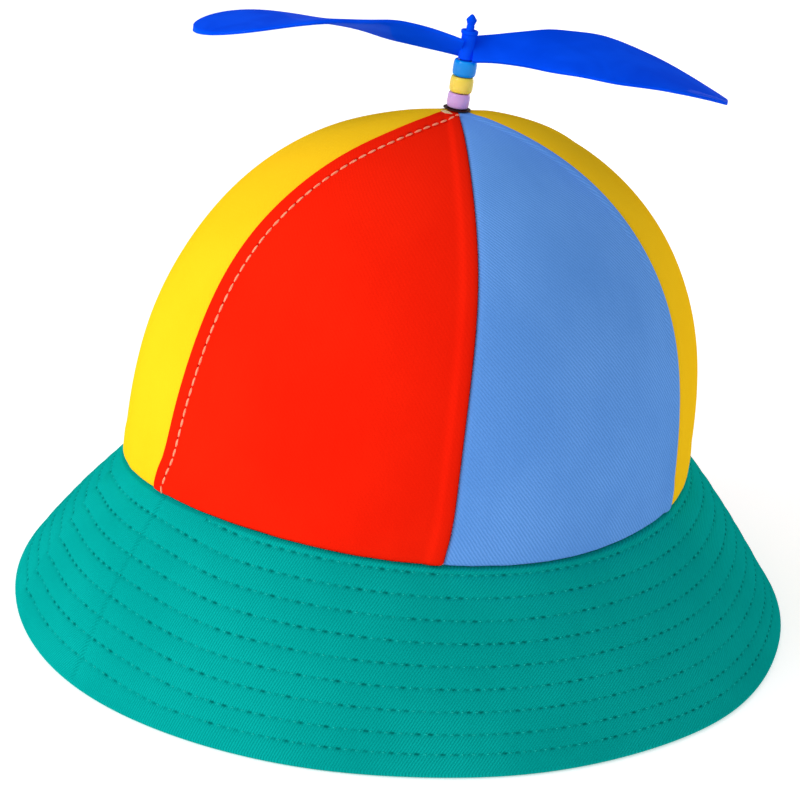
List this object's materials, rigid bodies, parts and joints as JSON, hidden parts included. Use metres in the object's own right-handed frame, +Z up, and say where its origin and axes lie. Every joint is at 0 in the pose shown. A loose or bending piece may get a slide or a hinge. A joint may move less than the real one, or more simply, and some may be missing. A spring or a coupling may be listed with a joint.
{
  "type": "propeller beanie",
  "caption": "Brimmed cloth cap with coloured crown panels, a stitched brim and a toy propeller that spins on a beaded pin.",
  "frame": {"origin": "centre of the brim's outline on the floor the hat rests on", "axes": "+Z up, -Y the way the wearer faces, +Y the lapped back seam, -X the wearer's right"},
  "size_m": [0.2404, 0.2754, 0.1943],
  "materials": {
    "yellow_cloth": "plain cotton twill",
    "red_cloth": "plain cotton twill",
    "blue_cloth": "plain cotton twill",
    "teal_cloth": "cotton twill with concentric rows of stitches",
    "dark_washer": "satin",
    "lilac_bead": "glossy, slightly milky",
    "yellow_bead": "glossy, slightly milky",
    "blue_bead": "glossy, slightly clear",
    "blue_plastic": "smooth moulded plastic"
  },
  "bodies": {
    "hat": {"crown_panel_back_right": "red_cloth", "crown_panel_right": "blue_cloth", "crown_panel_front_right": "yellow_cloth", "crown_panel_front_left": "red_cloth", "crown_panel_left": "blue_cloth", "crown_panel_back_left": "yellow_cloth", "brim": "teal_cloth", "washer": "dark_washer", "bead_lilac": "lilac_bead", "bead_yellow": "yellow_bead", "bead_blue": "blue_bead", "pin": "blue_plastic"},
    "rotor": {"propeller": "blue_plastic"}
  },
  "joints": [
    {"name": "propeller_spin", "type": "hinge", "parent": "hat", "child": "rotor", "pos_m": [0.0059, 0.0026, 0.164], "axis": [-0.0196, -0.0199, 0.9996], "continuous": true}
  ]
}
